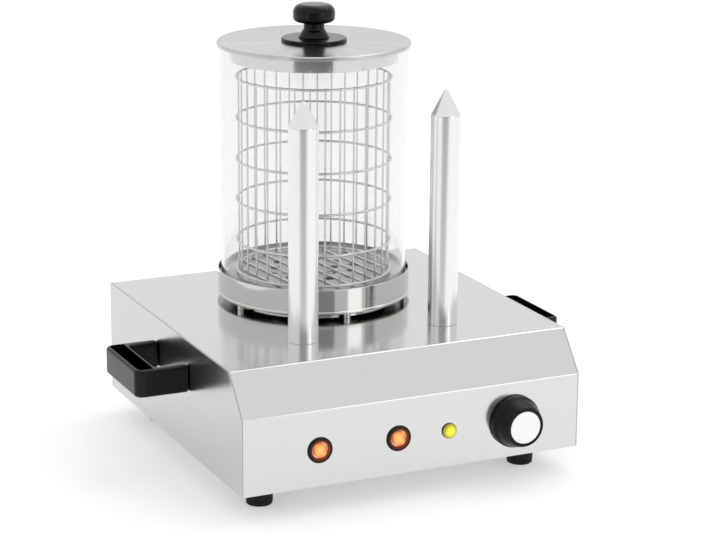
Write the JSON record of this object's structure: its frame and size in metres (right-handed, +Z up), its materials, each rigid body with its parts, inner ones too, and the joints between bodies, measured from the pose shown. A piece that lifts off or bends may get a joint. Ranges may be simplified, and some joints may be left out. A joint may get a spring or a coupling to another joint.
{
  "type": "hot dog warmer",
  "caption": "Countertop hot dog steamer: stainless casing, glass cylinder with wire basket and lid, two upright bun spikes, rocker switches and a thermostat knob.",
  "frame": {"origin": "on the floor, under the middle of the object's box", "axes": "+Z up, +Y to the back, +X to the side of the thermostat knob"},
  "size_m": [0.491, 0.431, 0.4664],
  "materials": {
    "stainless_casing": "brushed",
    "stainless_bright": "polished",
    "basket_wire": "electropolished",
    "spike_aluminium": "polished",
    "glass_clear": "clear",
    "black_bakelite": "gloss",
    "black_nylon": "moulded",
    "foot_rubber": "matte",
    "orange_lens": "lit",
    "yellow_lens": "lit",
    "knob_cap_metal": "satin",
    "zinc_fasteners": "plated",
    "heater_sheath": "heat tinted",
    "copper_tube": "drawn",
    "cream_moulding": "moulded"
  },
  "bodies": {
    "base": {"back_panel": "stainless_casing", "basin_heater": "heater_sheath", "bottom_cover": "stainless_casing", "bulb_clip": "zinc_fasteners", "capillary": "copper_tube", "casing_wrap": "stainless_casing", "cord_gland": "black_nylon", "cover_screws": "zinc_fasteners", "earth_stud": "copper_tube", "foot_nuts": "zinc_fasteners", "foot_screws": "zinc_fasteners", "gland_nut": "black_nylon", "handle_screws": "zinc_fasteners", "heater_clamp_plate": "zinc_fasteners", "heater_nut": "zinc_fasteners", "heater_stud": "zinc_fasteners", "left_bun_spike": "spike_aluminium", "left_handle": "black_bakelite", "left_side_panel": "stainless_casing", "left_spike_heater": "heater_sheath", "left_switch_body": "black_nylon", "pilot_lamp_body": "black_nylon", "pilot_lamp_lens": "yellow_lens", "right_bun_spike": "spike_aluminium", "right_handle": "black_bakelite", "right_side_panel": "stainless_casing", "right_spike_heater": "heater_sheath", "right_switch_body": "black_nylon", "rubber_feet": "foot_rubber", "safety_cutout": "zinc_fasteners", "spike_nuts": "zinc_fasteners", "spike_washers": "zinc_fasteners", "terminal_block": "cream_moulding", "thermostat_body": "cream_moulding", "thermostat_bulb": "copper_tube", "thermostat_screws": "zinc_fasteners", "water_basin": "stainless_bright"},
    "knob": {"thermostat_shaft": "zinc_fasteners", "control_knob": "black_nylon", "knob_cap": "knob_cap_metal"},
    "left_rocker": {"left_switch_rocker": "orange_lens"},
    "right_rocker": {"right_switch_rocker": "orange_lens"},
    "ring": {"seat_ring": "stainless_bright", "seat_ring_feet": "stainless_bright"},
    "plate": {"steam_plate": "stainless_bright"},
    "glass": {"glass_cylinder": "glass_clear"},
    "basket": {"basket_hoops": "basket_wire", "basket_wires": "basket_wire"},
    "lid_set": {"lid": "stainless_bright", "lid_collar": "stainless_bright", "lid_heat_guard": "black_bakelite", "lid_knob": "black_bakelite", "lid_knob_screw": "zinc_fasteners"}
  },
  "joints": [
    {"name": "thermostat_turn", "type": "hinge", "parent": "base", "child": "knob", "pos_m": [0.1135, -0.1915, 0.066], "axis": [0, 1, 0], "range_deg": [0, 270]},
    {"name": "left_rocker_tilt", "type": "hinge", "parent": "base", "child": "left_rocker", "pos_m": [-0.105, -0.191, 0.066], "axis": [1, 0, 0], "range_deg": [0, 18]},
    {"name": "right_rocker_tilt", "type": "hinge", "parent": "base", "child": "right_rocker", "pos_m": [-0.0186, -0.191, 0.066], "axis": [1, 0, 0], "range_deg": [0, 18]},
    {"name": "ring_lift", "type": "slide", "parent": "base", "child": "ring", "axis": [0, 0, 1], "range_m": [0, 0.12]},
    {"name": "plate_lift", "type": "slide", "parent": "ring", "child": "plate", "axis": [0, 0, 1], "range_m": [0, 0.1]},
    {"name": "glass_lift", "type": "slide", "parent": "plate", "child": "glass", "axis": [0, 0, 1], "range_m": [0, 0.12]},
    {"name": "basket_lift", "type": "slide", "parent": "glass", "child": "basket", "axis": [0, 0, 1], "range_m": [0, 0.28]},
    {"name": "lid_lift", "type": "slide", "parent": "basket", "child": "lid_set", "axis": [0, 0, 1], "range_m": [0, 0.12]}
  ]
}
